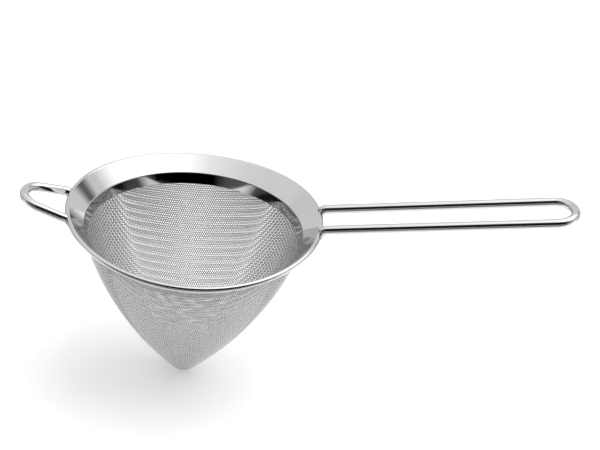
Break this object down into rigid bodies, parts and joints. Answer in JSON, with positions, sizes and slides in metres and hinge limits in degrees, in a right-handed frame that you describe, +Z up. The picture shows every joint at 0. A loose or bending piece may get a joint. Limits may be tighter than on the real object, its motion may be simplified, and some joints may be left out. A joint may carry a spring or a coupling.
{
  "type": "conical tea strainer",
  "caption": "Conical fine-mesh tea strainer in polished steel, with a sloping rim, a wire loop handle and a short rest hook.",
  "frame": {"origin": "centre of the rim, on the plane through the middle of its rolled edge", "axes": "+Z up along the cone's axis, +X along the handle, the plane Y = 0 is a mirror plane"},
  "size_m": [0.1727, 0.0798, 0.0695],
  "materials": {
    "polished_sheet": "mirror polished stainless steel sheet",
    "woven_mesh": "twill woven stainless steel wire cloth",
    "wire": "polished stainless steel wire"
  },
  "bodies": {
    "root": {"rim": "polished_sheet", "clamp_ring": "polished_sheet", "mesh_cone": "woven_mesh", "handle": "wire", "rest_hook": "wire"}
  },
  "joints": []
}
